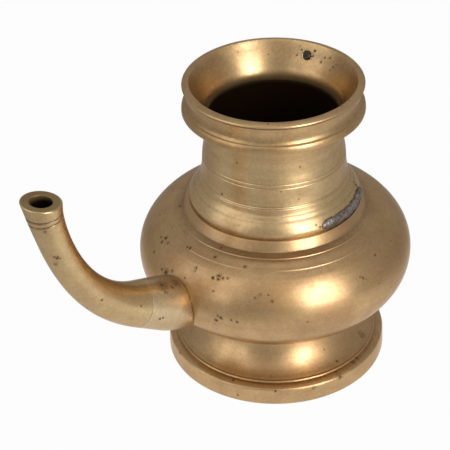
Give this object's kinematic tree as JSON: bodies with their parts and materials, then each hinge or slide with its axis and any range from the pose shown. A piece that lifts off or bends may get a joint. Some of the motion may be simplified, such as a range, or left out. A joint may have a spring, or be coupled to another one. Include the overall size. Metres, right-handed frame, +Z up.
{
  "type": "spouted water pot",
  "caption": "Round-bellied turned brass water pot with a flared foot, tall neck, moulded mouth rim and one bent tapered spout.",
  "frame": {"origin": "centre of the bounding box's footprint, on the plane the foot stands on", "axes": "+Z up along the pot's turned axis, spout towards -X, +Y completes the right-handed frame"},
  "size_m": [0.2526, 0.16, 0.1804],
  "materials": {
    "body_brass": "aged satin",
    "neck_brass": "aged satin",
    "spout_brass": "aged satin",
    "solder": "dull grey"
  },
  "bodies": {
    "root": {"foot_ring": "body_brass", "body": "body_brass", "neck": "neck_brass", "mouth_rim": "neck_brass", "spout_socket": "spout_brass", "spout_tube": "spout_brass", "neck_solder": "solder", "rim_plug": "solder"}
  },
  "joints": []
}
